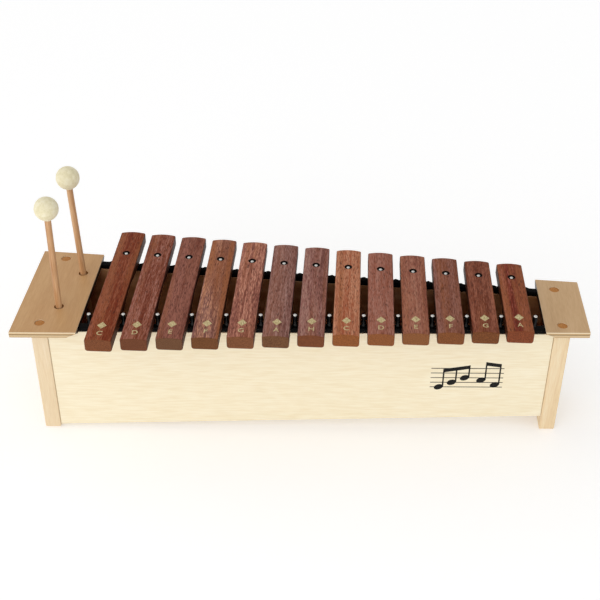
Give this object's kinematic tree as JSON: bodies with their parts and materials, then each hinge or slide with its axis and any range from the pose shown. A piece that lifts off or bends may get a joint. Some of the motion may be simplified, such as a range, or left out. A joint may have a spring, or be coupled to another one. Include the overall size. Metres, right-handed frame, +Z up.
{
  "type": "box resonator xylophone",
  "caption": "Xylophone of rosewood bars on foam rails over one tapered resonator box, with two felt mallets standing in its left plate.",
  "frame": {"origin": "centre of the bounding box, on the table under it", "axes": "+X along the row from the long bars to the short ones, +Y away from the player, +Z up"},
  "size_m": [0.71, 0.245, 0.3188],
  "materials": {
    "box_plywood": "clear matt lacquer over birch plywood",
    "end_board_wood": "clear matt lacquer over beech",
    "plate_plywood": "matt lacquer over plywood, pale at the sawn edge",
    "rosewood": "oiled, planed and lightly sanded",
    "plug_wood": "oiled end grain",
    "stick_beech": "satin lacquer over a turned rod",
    "felt": "pressed wool felt",
    "black_foam": "matt closed-cell foam",
    "steel_pin": "nickelled nail head over a black sleeve"
  },
  "bodies": {
    "box": {"front_wall": "box_plywood", "rear_wall": "box_plywood", "left_end_board": "end_board_wood", "right_end_board": "end_board_wood", "bottom_board": "box_plywood", "divider_board": "box_plywood", "left_top_plate": "plate_plywood", "right_top_plate": "plate_plywood", "left_front_plug": "plug_wood", "left_rear_plug": "plug_wood", "right_front_plug": "plug_wood", "right_rear_plug": "plug_wood", "front_foam_rail": "black_foam", "rear_foam_rail": "black_foam", "front_pin_01": "steel_pin", "front_pin_02": "steel_pin", "front_pin_03": "steel_pin", "front_pin_04": "steel_pin", "front_pin_05": "steel_pin", "front_pin_06": "steel_pin", "front_pin_07": "steel_pin", "front_pin_08": "steel_pin", "front_pin_09": "steel_pin", "front_pin_10": "steel_pin", "front_pin_11": "steel_pin", "front_pin_12": "steel_pin", "front_pin_13": "steel_pin", "front_pin_14": "steel_pin", "rear_pin_01": "steel_pin", "rear_pin_02": "steel_pin", "rear_pin_03": "steel_pin", "rear_pin_04": "steel_pin", "rear_pin_05": "steel_pin", "rear_pin_06": "steel_pin", "rear_pin_07": "steel_pin", "rear_pin_08": "steel_pin", "rear_pin_09": "steel_pin", "rear_pin_10": "steel_pin", "rear_pin_11": "steel_pin", "rear_pin_12": "steel_pin", "rear_pin_13": "steel_pin"},
    "bar_01_c": {"bar_01_c": "rosewood"},
    "bar_02_d": {"bar_02_d": "rosewood"},
    "bar_03_e": {"bar_03_e": "rosewood"},
    "bar_04_f": {"bar_04_f": "rosewood"},
    "bar_05_g": {"bar_05_g": "rosewood"},
    "bar_06_a": {"bar_06_a": "rosewood"},
    "bar_07_h": {"bar_07_h": "rosewood"},
    "bar_08_c": {"bar_08_c": "rosewood"},
    "bar_09_d": {"bar_09_d": "rosewood"},
    "bar_10_e": {"bar_10_e": "rosewood"},
    "bar_11_f": {"bar_11_f": "rosewood"},
    "bar_12_g": {"bar_12_g": "rosewood"},
    "bar_13_a": {"bar_13_a": "rosewood"},
    "front_mallet": {"front_mallet_stick": "stick_beech", "front_mallet_head": "felt"},
    "rear_mallet": {"rear_mallet_stick": "stick_beech", "rear_mallet_head": "felt"}
  },
  "joints": [
    {"name": "bar_01_c_lift", "type": "slide", "parent": "box", "child": "bar_01_c", "axis": [0, 0, 1], "range_m": [0, 0.05]},
    {"name": "bar_02_d_lift", "type": "slide", "parent": "box", "child": "bar_02_d", "axis": [0, 0, 1], "range_m": [0, 0.05]},
    {"name": "bar_03_e_lift", "type": "slide", "parent": "box", "child": "bar_03_e", "axis": [0, 0, 1], "range_m": [0, 0.05]},
    {"name": "bar_04_f_lift", "type": "slide", "parent": "box", "child": "bar_04_f", "axis": [0, 0, 1], "range_m": [0, 0.05]},
    {"name": "bar_05_g_lift", "type": "slide", "parent": "box", "child": "bar_05_g", "axis": [0, 0, 1], "range_m": [0, 0.05]},
    {"name": "bar_06_a_lift", "type": "slide", "parent": "box", "child": "bar_06_a", "axis": [0, 0, 1], "range_m": [0, 0.05]},
    {"name": "bar_07_h_lift", "type": "slide", "parent": "box", "child": "bar_07_h", "axis": [0, 0, 1], "range_m": [0, 0.05]},
    {"name": "bar_08_c_lift", "type": "slide", "parent": "box", "child": "bar_08_c", "axis": [0, 0, 1], "range_m": [0, 0.05]},
    {"name": "bar_09_d_lift", "type": "slide", "parent": "box", "child": "bar_09_d", "axis": [0, 0, 1], "range_m": [0, 0.05]},
    {"name": "bar_10_e_lift", "type": "slide", "parent": "box", "child": "bar_10_e", "axis": [0, 0, 1], "range_m": [0, 0.05]},
    {"name": "bar_11_f_lift", "type": "slide", "parent": "box", "child": "bar_11_f", "axis": [0, 0, 1], "range_m": [0, 0.05]},
    {"name": "bar_12_g_lift", "type": "slide", "parent": "box", "child": "bar_12_g", "axis": [0, 0, 1], "range_m": [0, 0.05]},
    {"name": "bar_13_a_lift", "type": "slide", "parent": "box", "child": "bar_13_a", "axis": [0, 0, 1], "range_m": [0, 0.05]},
    {"name": "front_mallet_draw", "type": "slide", "parent": "box", "child": "front_mallet", "axis": [0.0122, 0, 0.9999], "range_m": [0, 0.17]},
    {"name": "rear_mallet_draw", "type": "slide", "parent": "box", "child": "rear_mallet", "axis": [-0.0314, 0, 0.9995], "range_m": [0, 0.17]}
  ]
}
